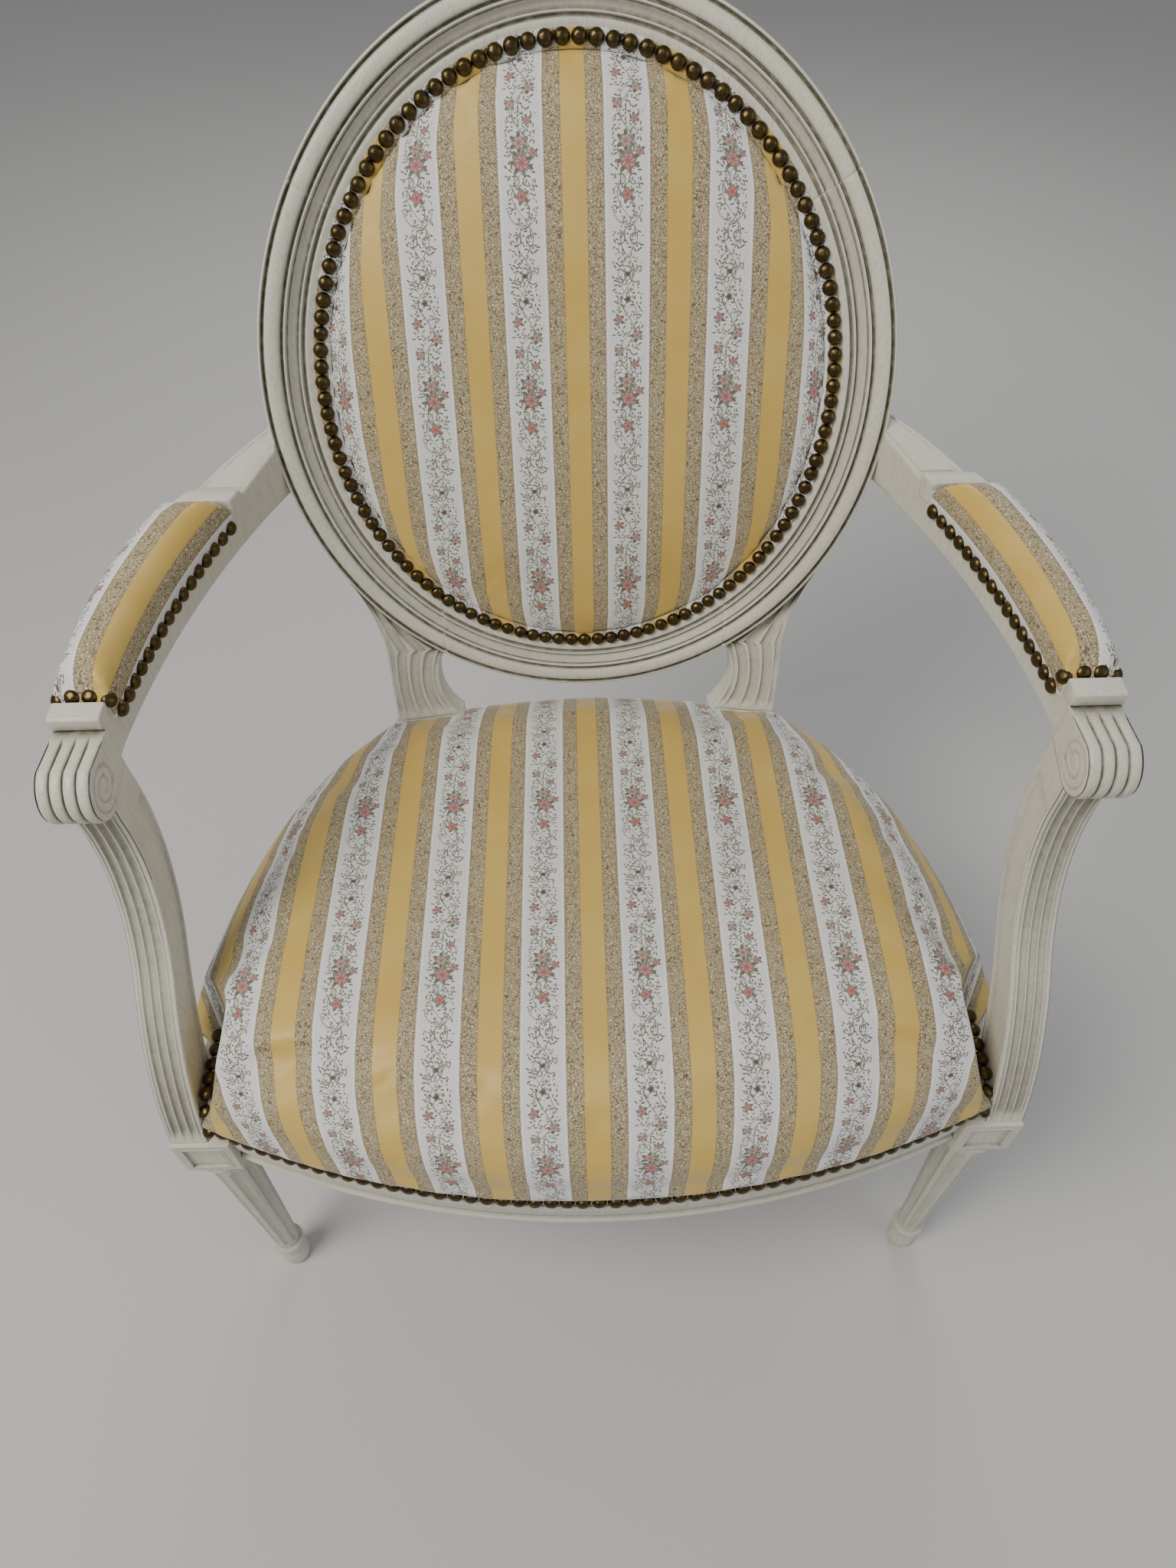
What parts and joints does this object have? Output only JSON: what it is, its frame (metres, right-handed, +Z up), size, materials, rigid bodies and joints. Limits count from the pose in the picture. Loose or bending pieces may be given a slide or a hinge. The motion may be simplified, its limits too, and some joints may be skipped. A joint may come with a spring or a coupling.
{
  "type": "fauteuil",
  "caption": "Oval-back upholstered armchair with a painted carved wood frame, open arms with padded tops, sprung striped seat and nailed edges.",
  "frame": {"origin": "centre of the bounding box in plan, on the floor under the feet", "axes": "+Z up, -Y out of the front of the chair, +X to the right as seen from the front"},
  "size_m": [0.6408, 0.6166, 0.8887],
  "materials": {
    "painted_wood": "satin",
    "bare_beech": "matte",
    "striped_fabric": "satin",
    "stuffing": "matte",
    "jute": "matte",
    "black_cloth": "matte",
    "nails": "satin",
    "steel": "satin",
    "spring_steel": "satin"
  },
  "bodies": {
    "root": {"arm_dowels": "bare_beech", "arm_left": "painted_wood", "arm_pad_cover_left": "striped_fabric", "arm_pad_cover_right": "striped_fabric", "arm_pad_left": "stuffing", "arm_pad_nails": "nails", "arm_pad_right": "stuffing", "arm_right": "painted_wood", "arm_support_left": "painted_wood", "arm_support_right": "painted_wood", "back_bottom_rail": "painted_wood", "back_cover": "striped_fabric", "back_frame_dowels": "bare_beech", "back_front_nails": "nails", "back_leg_left": "painted_wood", "back_leg_right": "painted_wood", "back_padding": "stuffing", "back_rail": "painted_wood", "back_rear_cover": "striped_fabric", "back_rear_nails": "nails", "back_top_rail": "painted_wood", "back_webbing": "jute", "corner_blocks": "bare_beech", "corner_screws": "steel", "dust_cover": "black_cloth", "foot_glides": "steel", "front_leg_left": "painted_wood", "front_leg_right": "painted_wood", "front_rail": "painted_wood", "seat_cover": "striped_fabric", "seat_front_nails": "nails", "seat_padding": "stuffing", "seat_rear_nails": "nails", "seat_side_nails": "nails", "seat_springs": "spring_steel", "seat_webbing": "jute", "side_rail_left": "painted_wood", "side_rail_right": "painted_wood", "spring_hessian": "jute"}
  },
  "joints": []
}
